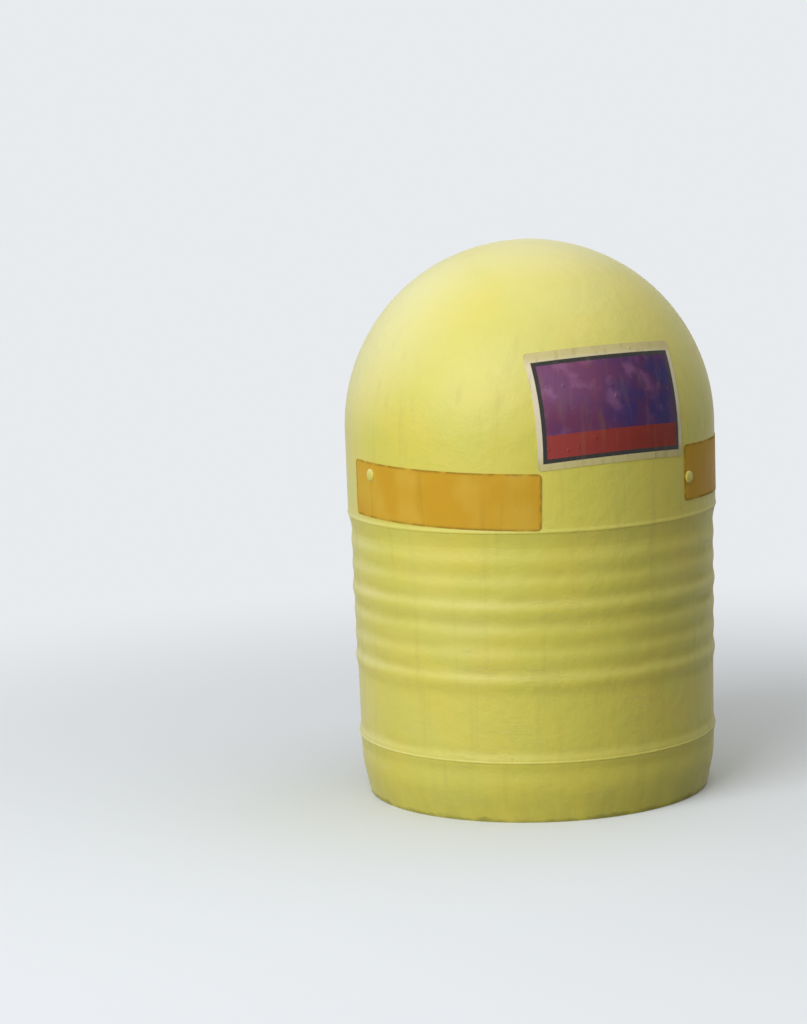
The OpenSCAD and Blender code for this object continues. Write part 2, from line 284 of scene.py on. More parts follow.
def turned(name, outline, steps, material, hollows=()):
    """A round piece from its half outline, a list of radius and height that starts and ends alike."""
    line = new_piece(name + "_outline", [(radius, 0, level) for radius, level in outline],
                     [(i, i + 1) for i in range(len(outline) - 1)])
    if len(hollows):
        line.data.attributes.new("hollow", "FLOAT", "POINT").data.foreach_set("value", hollows)
    sizes = {"Outline": line, "Steps round": steps, "Material": material}
    return outwards(made_by(name, turning, sizes))


def settled(piece, depth, size, dome_z=10.0):
    """Moves a skin in a little and unevenly, towards its axis or, above dome_z, its middle."""
    for vertex in piece.data.vertices:
        inwards = Vector((vertex.co.x, vertex.co.y, max(0, vertex.co.z - dome_z)))
        if inwards.length > 0.001:
            lump = noise.noise(vertex.co / size) * 0.5 + 0.5
            vertex.co -= inwards.normalized() * depth * lump
    return piece


def outer_outline(node, pitch, passes):
    """A round node's outer half outline, bottom to top, at an even pitch and with its corners eased."""
    mesh = nodes[node].data
    low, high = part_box(node)
    widest = {}
    for face in mesh.polygons:
        if face.normal.dot(face.center - (low + high) / 2) > 0:
            for corner in face.vertices:
                point = mesh.vertices[corner].co
                level = round(point.z, 5)
                widest[level] = max(widest.get(level, 0), math.hypot(point.x, point.y))
    line = np.array([(0, low.z)] + [(r, z) for z, r in sorted(widest.items())] + [(0, high.z)])
    along = np.append(0, np.cumsum(np.hypot(*np.diff(line, axis=0).T)))
    even = np.linspace(0, along[-1], round(along[-1] / pitch))
    line = np.stack([np.interp(even, along, line[:, 0]), np.interp(even, along, line[:, 1])], 1)
    for _ in range(passes):
        line[1:-1] = (line[:-2] + 2 * line[1:-1] + line[2:]) / 4
    return line


# The skins of the float and the cap sag this much, over lengths of about this size
sag = 0.0012
sag_size = 0.21
steps_round = 208
row_pitch = 0.0034
corner_passes = 5
# Dust and painted shade lie where the side is further in than its mean over some rows, as at the foot of a
# rib
foot_rows = 6
foot_depth = 0.0014
foot_top = 0.6
# Painted shade also lies in the neck under the cap, in a band whose middle is this far below the rim
neck_drop = 0.022
neck_half = 0.018
neck_painted_shade = 0.6
# The bead is the widest place between two heights, and carries the trimmed line of the mould's halves
bead_from = 0.08
bead_to = 0.18
parting_half = 0.0016
parting_proud = 0.0009
parting_levels = np.array([-1.6, -1.0, -0.5, 0.5, 1.0, 1.6])
parting_crown = np.array([0, 0.75, 1, 1, 0.75, 0])
parting_clear = 1.7

cap_low, cap_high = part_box("dome_cap")
cap_radius = cap_high.x
dome_z = cap_high.z - cap_radius

side = outer_outline("float_body", row_pitch, corner_passes)
side_r, side_z = side.T
window = 2 * foot_rows + 1
mean_r = np.convolve(np.pad(side_r, foot_rows, "edge"), np.ones(window), "valid") / window
foot = np.clip((mean_r - side_r) / foot_depth, 0, 1) * ((side_z > 0) & (side_z < foot_top))
neck = np.clip(neck_painted_shade - np.abs(side_z - cap_low.z + neck_drop) / neck_half, 0, neck_painted_shade)
side_hollows = np.maximum(foot, neck)

bead_row = int(np.where((side_z > bead_from) & (side_z < bead_to), side_r, 0).argmax())
bead_z = side_z[bead_row]
near_bead = slice(bead_row - 3, bead_row + 4)
parting_z = bead_z + parting_half * parting_levels
parting_r = np.interp(parting_z, side_z[near_bead], side_r[near_bead]) + parting_proud * parting_crown
keep = np.abs(side_z - bead_z) > parting_clear * parting_half
cut = int((keep & (side_z < bead_z)).sum())
side_line = np.insert(side[keep], cut, np.stack([parting_r, parting_z], 1), axis=0)
side_hollows = np.insert(side_hollows[keep], cut, np.zeros(len(parting_z)))

ribbed_float = settled(turned("ribbed_float", side_line.tolist(), steps_round, yellow, side_hollows),
                       sag, sag_size, dome_z)
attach(ribbed_float, "buoy")
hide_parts("float_body")


# Domed cap
# A second moulding, sleeved over the float's neck: a round dome with a straight skirt. Its thicker dome
# leaves a ledge inside, which sits on the float's deck, and its lower edge has a low rounded lip. A fillet
# of yellow sealant, smoothed with a finger, closes the joint under the lip.
skirt_wall = 0.005
dome_wall = 0.008
rim_round = 0.003
inner_round = 0.001
lip_top = 0.0095
lip_foot = 0.0035
lip_proud = 0.001
dome_steps = 72
skirt_steps = 16
lip_steps = 6


def arc(middle_r, middle_z, radius, start_deg, end_deg, steps):
    """Points on an arc of the half outline."""
    angles = [math.radians(start_deg + (end_deg - start_deg) * i / steps) for i in range(steps + 1)]
    return [(middle_r + radius * math.cos(a), middle_z + radius * math.sin(a)) for a in angles]


def climb(radius, start_z, end_z, steps):
    """Points on a straight wall, without its two ends."""
    return [(radius, start_z + (end_z - start_z) * i / steps) for i in range(1, steps)]


cap_line = arc(0, dome_z, cap_radius, 90, 0, dome_steps)
cap_line += climb(cap_radius, dome_z, cap_low.z + lip_top, skirt_steps)
for i in range(lip_steps + 1):
    swell = lip_proud * (0.5 - 0.5 * math.cos(math.pi * i / lip_steps))
    cap_line.append((cap_radius + swell, cap_low.z + lip_top - (lip_top - lip_foot) * i / lip_steps))
cap_line += arc(cap_radius + lip_proud - rim_round, cap_low.z + rim_round, rim_round, 0, -90, 5)
cap_line += arc(cap_radius - skirt_wall + inner_round, cap_low.z + inner_round, inner_round, -90, -180, 3)
cap_line += climb(cap_radius - skirt_wall, cap_low.z, dome_z, skirt_steps)
cap_line += [(cap_radius - skirt_wall, dome_z)]
cap_line += arc(0, dome_z, cap_radius - dome_wall, 0, 90, dome_steps // 2)
cap_line[0] = (0, cap_high.z)
cap_line[-1] = (0, cap_high.z - dome_wall)
domed_cap = settled(turned("domed_cap", cap_line, steps_round, yellow), sag, sag_size, dome_z)
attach(domed_cap, "buoy")
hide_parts("dome_cap")

# The fillet runs down from the rim to the float's neck, in the hollow curve of a fingertip
seal_drop = 0.026
seal_curve = 1.3
seal_inset = 0.0002
seal_overlap = 0.0012
seal_depth = 0.0015
# The whole sealant fillet is painted darker, as painted shade under the rim
seal_painted_shade = 0.25
seal_steps = 12

seal_top = (cap_radius - seal_inset, cap_low.z + seal_overlap)
seal_foot = (side_r[np.abs(side_z - cap_low.z + seal_drop).argmin()], cap_low.z - seal_drop)
seal_line = [(seal_foot[0] + (seal_top[0] - seal_foot[0]) * (i / seal_steps) ** seal_curve,
              seal_foot[1] + (seal_top[1] - seal_foot[1]) * i / seal_steps) for i in range(seal_steps + 1)]
seal_back = seal_foot[0] - seal_depth
seal_line += [(seal_back, seal_top[1]), (seal_back, seal_foot[1]), seal_line[0]]
rim_seal = settled(turned("rim_seal", seal_line, steps_round, yellow, [seal_painted_shade] * len(seal_line)),
                   sag, sag_size, dome_z)
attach(rim_seal, "buoy")


# Reflective strips
# Three lengths of orange retroreflective sheet, stuck on by hand a little out of level. The sheet is
# sealed in six-sided cells under a clear face, which has gone dull. Its corners are cut round, and dirt
# gathers at its edges.
glue = 0.0002
strip_t = 0.0008
strip_w = 0.1
strip_arc = math.radians(70)
corner_round = 0.007
cell = 0.0042
sheet_r = cap_radius + glue + strip_t
sheet_pitch = 0.005
# An end peels off over this share of a half strip, by this much at its upper corner
peel_share = 0.03
peel_lift = 0.0008

orange, shader, start, place = new_finish("orange_reflective_sheet")
across, along, _ = start.add("ShaderNodeUVMap", uv_map="laid").split()


def to_cell_side(across, along):
    """How far a place is from the middle of its cell, where 0.5 is the cell's side."""
    u = abs(across.math("FRACT") - 0.5)
    v = abs((along / math.sqrt(3)).math("FRACT") - 0.5) * math.sqrt(3)
    return u.math("MAXIMUM", u * 0.5 + v * math.sqrt(0.75))


cells = to_cell_side(across / cell, along / cell)
cells = cells.math("MINIMUM", to_cell_side(across / cell + 0.5, along / cell + math.sqrt(0.75)))
seals = cells.rise(0.42, 0.48)
edge_near = (strip_w / 2 - abs(along)).math("MINIMUM", sheet_r * strip_arc / 2 - abs(across))
edge_dirt = edge_near.rise(0.006, 0.0) * place.cloud(0.02).rise(0.3, 0.6)
faded = place.cloud(0.09, (1, 1, 1.4), 2.0, 5.0).rise(0.42, 0.7)
drips = place.cloud(0.012, (1, 1, 20), 3.0, 2.0).rise(0.58, 0.8)
colour = faded.mix(paint(206, 158, 42), paint(213, 174, 64))
colour = (seals * 0.25).mix(colour, paint(220, 180, 70))
colour = (drips * 0.22).mix(colour, paint(132, 104, 46))
colour = (edge_dirt * 0.55).mix(colour, paint(104, 84, 40))
roughness = 0.46 + faded * 0.14 + edge_dirt * 0.3
relief = (seals * -1.0).bump(0.0002, place.cloud(0.035, detail=1.0).bump(0.0012))
start.feed(shader, {"Base Color": colour, "Roughness": roughness, "Normal": relief,
                    "Specular IOR Level": 0.08})


def sheet(name, width, height, pitch, thickness, spot, material):
    """A thin sheet with round corners: spot gives the place of each point of its outer face."""
    columns = round(width / pitch)
    lines = round(height / pitch)
    flat = []
    for i in range(columns + 1):
        for j in range(lines + 1):
            u = width * (i / columns - 0.5)
            v = height * (j / lines - 0.5)
            past_u = abs(u) - width / 2 + corner_round
            past_v = abs(v) - height / 2 + corner_round
            if past_u > 0 and past_v > 0:
                pull = max(past_u, past_v) / math.hypot(past_u, past_v)
                u = math.copysign(width / 2 - corner_round + past_u * pull, u)
                v = math.copysign(height / 2 - corner_round + past_v * pull, v)
            flat.append((u, v))
    faces = [(a, a + lines + 1, a + lines + 2, a + 1)
             for i in range(columns) for a in range(i * (lines + 1), i * (lines + 1) + lines)]
    piece = new_piece(name, [spot(u, v) for u, v in flat], (), faces)
    layer = piece.data.uv_layers.new(name="laid")
    for corner in piece.data.loops:
        layer.data[corner.index].uv = flat[corner.vertex_index]
    piece.data.materials.append(material)
    wall = piece.modifiers.new("thickness", "SOLIDIFY")
    wall.thickness = thickness
    wall.offset = -1
    return settled(applied(piece), sag, sag_size, dome_z)


def on_skirt(turn, lean, middle_z):
    """Where a strip's points lie on the skirt. It turns from the front, and leans up to its right end."""
    def spot(across, along):
        angle = turn + (across * math.cos(lean) - along * math.sin(lean)) / sheet_r
        peel = max(0, abs(across) / (sheet_r * strip_arc / 2) - (1 - peel_share)) / peel_share
        radius = sheet_r + peel_lift * peel * peel * (0.5 + along / strip_w)
        level = middle_z + across * math.sin(lean) + along * math.cos(lean)
        return radius * math.sin(angle), -radius * math.cos(angle), level
    return spot


# Each strip's turn and lean in degrees
strips = {"tape_strip_1": (-32, -1.5), "tape_strip_2": (88.5, -1), "tape_strip_3": (210, 0.5)}
for number, (node, (turn, lean)) in enumerate(strips.items(), 1):
    low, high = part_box(node)
    laid = on_skirt(math.radians(turn), math.radians(lean), (low.z + high.z) / 2)
    strip = sheet(f"reflective_strip_{number}", sheet_r * strip_arc, strip_w, sheet_pitch, strip_t,
                  laid, orange)
    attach(strip, "buoy")
    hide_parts(node)


# Screw covers
# Snap covers over the three screws that hold the cap to the float's neck. They are yellow plastic discs
# with a domed face, and they sit on the strips.
cover_r = 0.011
cover_h = 0.0045
cover_round = 0.001
cover_round_z = 0.0012
cover_shoulder = 0.4
cover_steps = 32
# Each cover's turn from the front in degrees, and its height
cover_places = [(-57, 0.612), (55.7, 0.594), (179, 0.600)]

cover_line = [(0, 0), (cover_r, 0)] + arc(cover_r - cover_round, cover_round_z, cover_round, 0, 60, 3)
cover_line += [(cover_r * math.cos(a), cover_h * (cover_shoulder + (1 - cover_shoulder) * math.sin(a)))
               for a in (0.5, 0.8, 1.1, 1.35)]
cover_line += [(0, cover_h)]
cover = turned("cover", cover_line, cover_steps, yellow)
seat_r = sheet_r - sag
spots = new_piece("cover_spots", [(seat_r * math.sin(math.radians(turn)),
                                   -seat_r * math.cos(math.radians(turn)), level)
                                  for turn, level in cover_places])

snapping, given = new_rule("Covers on the skirt", {
    "Cover": "Object", "Spots": "Object", "Material": "Material"})
points = given["Spots"].add("GeometryNodeObjectInfo", {"Object": given["Spots"]}, "Geometry")
single = given["Cover"].add("GeometryNodeObjectInfo", {"Object": given["Cover"]}, "Geometry")
radial = points.add("ShaderNodeVectorMath", {0: points.add("GeometryNodeInputPosition"), 1: (1, 1, 0)},
                    operation="MULTIPLY")
facing = points.add("FunctionNodeAlignRotationToVector", {"Vector": radial}, axis="Z")
placed = points.add("GeometryNodeInstanceOnPoints",
                    {"Points": points, "Instance": single, "Rotation": facing})
close_rule(snapping, placed, given["Material"])
covers = made_by("screw_covers", snapping, {"Cover": cover, "Spots": spots, "Material": yellow})
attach(covers, "buoy")


# Notice
# A blank printed film on a thin plate, bent over the dome and the top of the skirt: a pale border, a dark
# line inside it, a faded violet field, and a red band along the bottom.
notice_w = 0.297
notice_h = 0.21
notice_turn = math.radians(27)
notice_rise = math.radians(11.5)
notice_lean = math.radians(-1)
side_border = 0.0095
top_border = 0.0185
bottom_border = 0.012
line_w = 0.0075
band_top = 0.06
print_edge = 0.0006
# The border is stained from this far above and below the middle, up to this far
stain_from = 0.076
stain_to = 0.098

film, shader, start, place = new_finish("notice_film")
across, along, _ = start.add("ShaderNodeUVMap", uv_map="laid").split()
inner = (notice_w / 2 - side_border - abs(across)).math("MINIMUM", notice_h / 2 - top_border - along)
inner = inner.math("MINIMUM", along + notice_h / 2 - bottom_border)
framed = inner.rise(-print_edge, print_edge)
lined = inner.rise(line_w - print_edge, line_w + print_edge)
banded = (along + notice_h / 2 - band_top).rise(print_edge, -print_edge)
blots = place.cloud(0.045, detail=3.0, seed=3.0).rise(0.34, 0.66) * 0.5
blots = blots + across.rise(-0.05, 0.04) * 0.5
bleach = place.cloud(0.034, detail=4.0, seed=8.0).rise(0.46, 0.7)
# The field and the red band are paler towards the notice's left edge
paler_to_the_left = across.rise(0.11, -0.13)
upper_part = along.rise(-0.03, 0.03) * 0.55 + 0.45
field = blots.mix(paint(92, 28, 62), paint(38, 28, 92))
field = ((paler_to_the_left * 0.4 + bleach * 0.34) * upper_part).mix(field, paint(160, 108, 146))
band = paler_to_the_left.mix(paint(132, 38, 24), paint(152, 60, 56))
field = banded.mix(field, band)
field = lined.mix(paint(54, 52, 50), field)
grime = place.cloud(0.014, (1, 1, 12)).rise(0.5, 0.8)
rim = grime.mix(paint(224, 212, 184), paint(196, 180, 144))
rim = (abs(along).rise(stain_from, stain_to) * 0.75).mix(rim, paint(196, 184, 108))
colour = framed.mix(rim, field)
colour = (grime * 0.2).mix(colour, paint(130, 116, 90))
blisters = place.cloud(0.012, detail=1.0, seed=6.0).rise(0.68, 0.8)
relief = blisters.bump(0.0008, place.cloud(0.05, detail=1.0).bump(0.0014))
roughness = 0.34 + bleach * 0.2 + grime * 0.1
start.feed(shader, {"Base Color": colour, "Roughness": roughness, "Normal": relief,
                    "Specular IOR Level": 0.18, "Coat Weight": 0.05, "Coat Roughness": 0.25})

turn_notice = (Matrix.Rotation(notice_turn - math.pi / 2, 3, "Z") @ Matrix.Rotation(-notice_rise, 3, "Y")
               @ Matrix.Rotation(-notice_lean, 3, "X"))


def on_dome(across, along):
    """Where a point of the notice lies: on the dome, or pushed out to the skirt below its centre."""
    y = sheet_r * math.sin(across / sheet_r)
    z = sheet_r * math.sin(along / sheet_r)
    spot = turn_notice @ Vector((math.sqrt(sheet_r ** 2 - y * y - z * z), y, z))
    if spot.z < 0:
        spread = sheet_r / math.hypot(spot.x, spot.y)
        spot = Vector((spot.x * spread, spot.y * spread, spot.z))
    return spot + Vector((0, 0, dome_z))


notice = sheet("notice_sheet", notice_w, notice_h, sheet_pitch, strip_t, on_dome, film)
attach(notice, "buoy")
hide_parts("notice_panel")


# Tail
# A plate bolted to the hull's flat bottom, with a tube, four gussets and an end flange welded to it. All of
# it is steel, hot-dip galvanised after welding, so the zinc runs over the beads. It has gone dull in the
# water, with silt on what faces up and rust where the zinc is thin.
zinc, shader, start, place = new_finish("hot_dip_zinc")
upwards = start.add("ShaderNodeNewGeometry", output="Normal").split()[2]
crystals = start.add("ShaderNodeTexVoronoi", {"Vector": place, "Scale": 95.0}, "Color").split()[0]
oxide = place.cloud(0.035, detail=4.0).rise(0.4, 0.7)
rust = place.cloud(0.05, (1, 1, 1.8), 6.0, 3.0).rise(0.6, 0.74)
silt = upwards.rise(0.3, 0.95) * place.cloud(0.03, seed=5.0).rise(0.3, 0.6)
colour = (crystals * 0.7).mix(paint(140, 145, 150), paint(176, 181, 185))
colour = (oxide * 0.6).mix(colour, paint(158, 160, 156))
colour = (rust * 0.75).mix(colour, paint(116, 72, 42))
colour = (silt * 0.6).mix(colour, paint(112, 106, 76))
start.feed(shader, {
    "Base Color": colour,
    "Metallic": 0.9 - oxide * 0.45 - rust * 0.4 - silt * 0.4,
    "Roughness": 0.4 + crystals * 0.1 + oxide * 0.2 + rust * 0.2 + silt * 0.2,
    "Normal": crystals.bump(0.0002, place.cloud(0.006).bump(0.0006)),
})


def own_shape(node, name):
    """A copy of a node as a piece, with its loose triangles joined into clean faces."""
    piece = new_piece(name)
    shape = bmesh.new()
    shape.from_mesh(nodes[node].data)
    bmesh.ops.remove_doubles(shape, verts=shape.verts, dist=0.00001)
    bmesh.ops.dissolve_limit(shape, angle_limit=math.radians(0.5), verts=shape.verts, edges=shape.edges)
    shape.to_mesh(piece.data)
    shape.free()
    return piece


def softened(node, name, edge, material):
    """The node's own shape with its sharp edges rounded."""
    piece = own_shape(node, name)
    piece.data.materials.clear()
    piece.data.materials.append(material)
    bevel = piece.modifiers.new("edges", "BEVEL")
    bevel.width = edge
    bevel.segments = 3
    bevel.angle_limit = math.radians(40)
    return applied(piece)


def take_over(piece, body, slot, *replaced):
    """The piece moves with the body, and stands for these nodes, which are hidden. The slot is not used."""
    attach(piece, body)
    if replaced:
        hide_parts(*replaced)


# How far each part's edges are rounded
steel_nodes = {"keel_plate": 0.0015, "keel_tube": 0.0008, "end_flange": 0.0012, "ballast_collar": 0.0015}
steel_nodes.update({f"keel_gusset_{i}": 0.001 for i in range(1, 5)})
for node, edge in steel_nodes.items():
    take_over(softened(node, node + "_steel", edge, zinc), "buoy", "galvanised_steel", node)

plate_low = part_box("keel_plate")[0]
tube_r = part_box("keel_tube")[1].x
flange_low, flange_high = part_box("end_flange")

beading, given = new_rule("Bead along a path", {
    "Path": "Object", "Radius": "Float", "Ripple": "Float", "Ripple pitch": "Float",
    "Lumps": "Float", "Material": "Material"})
path = given["Path"].add("GeometryNodeObjectInfo", {"Object": given["Path"]}, "Geometry")
curve = path.add("GeometryNodeMeshToCurve", {"Mesh": path})
curve = curve.add("GeometryNodeResampleCurve", {"Curve": curve, "Length": given["Ripple pitch"] / 4},
                  mode="LENGTH")
run = curve.add("GeometryNodeSplineParameter", output="Length")
wave = (run * math.tau / given["Ripple pitch"]).math("SINE") * given["Ripple"]
lump = (curve.add("GeometryNodeInputPosition").cloud(0.02) - 0.5) * given["Lumps"]
curve = curve.add("GeometryNodeSetCurveRadius", {"Curve": curve, "Radius": 1.0 + wave + lump})
ring = curve.add("GeometryNodeCurvePrimitiveCircle", {"Resolution": 10, "Radius": given["Radius"]})
bead = curve.add("GeometryNodeCurveToMesh", {"Curve": curve, "Profile Curve": ring, "Fill Caps": True})
close_rule(beading, bead, given["Material"])


def circle_path(radius, level, axis="Z", steps=96):
    """A ring of points round the Z axis, or round the X axis at that distance along it."""
    turns = [math.tau * i / steps for i in range(steps)]
    if axis == "Z":
        return [(radius * math.cos(a), radius * math.sin(a), level) for a in turns], True
    return [(level, radius * math.cos(a), radius * math.sin(a)) for a in turns], True


def paths_piece(name, paths):
    """One object that holds every path, each a list of points and whether it closes on itself."""
    points = []
    edges = []
    for line, closes in paths:
        first = len(points)
        points += line
        edges += [(first + i, first + i + 1) for i in range(len(line) - 1)]
        if closes:
            edges.append((first + len(line) - 1, first))
    return new_piece(name, points, edges)


weld_r = 0.0045
flange_weld_lift = 0.001
# A gusset is welded along the foot of both its faces, and the beads end this short of its tips
gusset_half = 0.004
weld_short = 0.003
gusset_low, gusset_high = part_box("keel_gusset_4")
gusset_r = math.hypot(gusset_high.x, gusset_high.y) - weld_short
weld_paths = [circle_path(tube_r, plate_low.z), circle_path(tube_r, flange_high.z + flange_weld_lift),
              circle_path(tube_r, flange_low.z)]
for quarter in range(4):
    turn = Matrix.Rotation(math.radians(45 + 90 * quarter), 3, "Z")
    for face in (-gusset_half, gusset_half):
        corner = [Vector((tube_r, face, gusset_low.z + weld_short)), Vector((tube_r, face, plate_low.z)),
                  Vector((gusset_r, face, plate_low.z))]
        weld_paths.append(([turn @ spot for spot in corner], False))
bead_sizes = {"Radius": weld_r, "Ripple": 0.1, "Ripple pitch": 0.0035, "Lumps": 0.5, "Material": zinc}
tail_welds = made_by("tail_welds", beading, {"Path": paths_piece("tail_seams", weld_paths), **bead_sizes})
take_over(tail_welds, "buoy", "galvanised_steel")

# The plate's bolts go up into inserts in the float's bottom, each with a washer under its head
bolt_af = 0.019
bolt_head_h = 0.008
bolt_ring_r = 0.125
bolt_count = 8
washer_r = 0.0125
washer_t = 0.0025
washer_edge = 0.0005
# A head's or nut's flats are turned down past this share of its width, at this slope
chamfer_from = 0.485
chamfer_slope = math.tan(math.radians(28))
ring_steps = 48


def flat_ring(radius, level, steps=ring_steps):
    """A level ring of points round the Z axis."""
    turns = [math.tau * i / steps for i in range(steps)]
    return [(radius * math.cos(a), radius * math.sin(a), level) for a in turns]


def hex_rings(af, low, high):
    """Rings of a six-sided head or nut, af across its flats, chamfered round at both ends."""
    rings = [[], [], [], []]
    for i in range(ring_steps):
        a = math.tau * i / ring_steps
        reach = af / 2 / math.cos((a + math.pi / 6) % (math.pi / 3) - math.pi / 6)
        drop = max(0, reach - af * chamfer_from) * chamfer_slope
        end_reach = min(reach, af * chamfer_from)
        corners = [(end_reach, low), (reach, low + drop), (reach, high - drop), (end_reach, high)]
        for ring, (radius, level) in zip(rings, corners):
            ring.append((radius * math.cos(a), radius * math.sin(a), level))
    return rings


def ringed(name, rings, material, bore=0.0):
    """A closed piece skinned over its rings, with a flat face or a bore at both ends."""
    steps = len(rings[0])
    if bore:
        rings = rings + [flat_ring(bore, rings[-1][0][2], steps), flat_ring(bore, rings[0][0][2], steps)]
    points = [spot for ring in rings for spot in ring]
    faces = []
    bands = len(rings) if bore else len(rings) - 1
    for k in range(bands):
        low = k * steps
        high = (k + 1) % len(rings) * steps
        faces += [(low + i, low + (i + 1) % steps, high + (i + 1) % steps, high + i) for i in range(steps)]
    if not bore:
        faces += [tuple(range(steps))[::-1], tuple(range((len(rings) - 1) * steps, len(rings) * steps))]
    piece = new_piece(name, points, (), faces)
    piece.data.materials.append(material)
    return outwards(applied(piece))


def joined(name, parts, material):
    """Several parts of one material as one piece, each part given with its place."""
    shape = bmesh.new()
    for part, place in parts:
        mesh = part.data.copy()
        mesh.transform(place)
        shape.from_mesh(mesh)
        bpy.data.meshes.remove(mesh)
    piece = new_piece(name)
    shape.to_mesh(piece.data)
    shape.free()
    piece.data.materials.append(material)
    for part, _ in parts:
        bpy.data.objects.remove(part)
    return applied(piece)


washer_rings = [flat_ring(washer_r - washer_edge, 0), flat_ring(washer_r, washer_edge),
                flat_ring(washer_r, washer_t - washer_edge), flat_ring(washer_r - washer_edge, washer_t)]
washer = ringed("washer", washer_rings, zinc)
head = ringed("head", hex_rings(bolt_af, washer_t, washer_t + bolt_head_h), zinc)
plate_bolt = joined("plate_bolt", [(washer, Matrix()), (head, Matrix())], zinc)

ringing, given = new_rule("Bolts in a ring", {
    "Bolt": "Object", "Count": "Int", "Ring radius": "Float", "Level": "Float", "Seed": "Int",
    "Material": "Material"})
single = given["Bolt"].add("GeometryNodeObjectInfo", {"Object": given["Bolt"]}, "Geometry")
ring = single.add("GeometryNodeMeshCircle", {"Vertices": given["Count"], "Radius": given["Ring radius"]})
half_step = ring.add("ShaderNodeCombineXYZ", {"Z": math.pi / given["Count"]})
level = ring.add("ShaderNodeCombineXYZ", {"Z": given["Level"]})
ring = ring.add("GeometryNodeTransform", {"Geometry": ring, "Translation": level, "Rotation": half_step})
chance = ring.add("FunctionNodeRandomValue", {"Min": 0.0, "Max": math.tau, "Seed": given["Seed"]}, 1,
                  data_type="FLOAT")
facing = ring.add("ShaderNodeCombineXYZ", {"X": math.pi, "Z": chance})
placed = ring.add("GeometryNodeInstanceOnPoints", {"Points": ring, "Instance": single, "Rotation": facing})
close_rule(ringing, placed, given["Material"])
plate_bolts = made_by("plate_bolts", ringing, {
    "Bolt": plate_bolt, "Count": bolt_count, "Ring radius": bolt_ring_r, "Level": plate_low.z,
    "Seed": 4, "Material": zinc})
take_over(plate_bolts, "buoy", "galvanised_steel")


# Ballast
# Four cast-iron discs threaded on the tube. They came rough out of sand moulds and were dipped in tar, which
# has worn off the edges and lets rust through. A split collar, clamped by two bolts, keeps them down.
iron, shader, start, place = new_finish("tarred_cast_iron")
upwards = start.add("ShaderNodeNewGeometry", output="Normal").split()[2]
worn = place.cloud(0.03, detail=6.0).rise(0.46, 0.62)
runs = place.cloud(0.012, (1, 1, 5), 4.0, 4.0).rise(0.52, 0.72)
silt = upwards.rise(0.4, 1.0) * place.cloud(0.025, seed=5.0).rise(0.35, 0.6)
colour = worn.mix(paint(52, 48, 46), paint(104, 62, 40))
colour = (runs * 0.5).mix(colour, paint(132, 82, 46))
colour = (silt * 0.55).mix(colour, paint(104, 98, 70))
start.feed(shader, {
    "Base Color": colour,
    "Metallic": 0.15,
    "Roughness": 0.5 + worn * 0.3 + silt * 0.1,
    "Normal": place.cloud(0.0022, detail=4.0).bump(0.0011, worn.bump(0.0005)),
})

disc_fit = 0.001
disc_chamfer = 0.004
disc_pitch = 0.003
disc_passes = 2
disc_steps = 144
# The cast skin is this rough, in lumps of about this size, a little larger on each disc
cast_depth = 0.0009
cast_lump = 0.017
cast_lump_growth = 0.001

for number in range(1, 5):
    low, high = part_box(f"ballast_disc_{number}")
    bore = tube_r + disc_fit
    corners = [(bore, low.z), (high.x - disc_chamfer, low.z), (high.x, low.z + disc_chamfer),
               (high.x, high.z - disc_chamfer), (high.x - disc_chamfer, high.z), (bore, high.z),
               (bore, low.z)]
    line = []
    for (r0, z0), (r1, z1) in zip(corners, corners[1:]):
        steps = max(2, round(math.hypot(r1 - r0, z1 - z0) / disc_pitch))
        line += [(r0 + (r1 - r0) * i / steps, z0 + (z1 - z0) * i / steps) for i in range(steps)]
    line = np.array(line)
    for _ in range(disc_passes):
        line = (np.roll(line, 1, 0) + 2 * line + np.roll(line, -1, 0)) / 4
    line = line.tolist()
    disc = turned(f"disc_{number}_iron", line + line[:1], disc_steps, iron)
    disc = settled(disc, cast_depth, cast_lump + cast_lump_growth * number)
    take_over(disc, "buoy", "cast_iron", f"ballast_disc_{number}")

# The clamp's bolts cross the split beside the tube: head and nut bear on the collar's ears
ear_from_tube = 0.014
clamp_grip = 0.017
clamp_af = 0.019
clamp_head_h = 0.0075
clamp_nut_h = 0.0105
clamp_shank_r = 0.006
clamp_bore_r = 0.0058
clamp_tip_r = 0.0045
clamp_tip_h = 0.0015
clamp_past = 0.018
collar_low, collar_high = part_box("ballast_collar")
clamp_x = (collar_high.x + tube_r + ear_from_tube) / 2
clamp_z = (collar_low.z + collar_high.z) / 2


def lying(direction, middle):
    """Turns a piece that stands on Z to lie along another direction, at a place."""
    return Matrix.Translation(middle) @ Vector(direction).to_track_quat("Z", "Y").to_matrix().to_4x4()


clamp_parts = []
clamp_end = 2 * clamp_grip + clamp_past
for hand in (-1, 1):
    middle = Vector((hand * clamp_x, 0, clamp_z))
    shank_rings = [flat_ring(clamp_tip_r, 0), flat_ring(clamp_shank_r, clamp_tip_h),
                   flat_ring(clamp_shank_r, clamp_end), flat_ring(clamp_tip_r, clamp_end + clamp_tip_h)]
    shank = ringed("shank", shank_rings, zinc)
    head = ringed("head", hex_rings(clamp_af, 0, clamp_head_h), zinc)
    nut = ringed("nut", hex_rings(clamp_af, 0, clamp_nut_h), zinc, bore=clamp_bore_r)
    along = Vector((0, hand, 0))
    clamp_parts += [(shank, lying(along, middle - along * clamp_grip)),
                    (head, lying(-along, middle - along * clamp_grip)),
                    (nut, lying(along, middle + along * clamp_grip))]
clamp_bolts = joined("clamp_bolts", clamp_parts, zinc)
take_over(clamp_bolts, "buoy", "galvanised_steel")


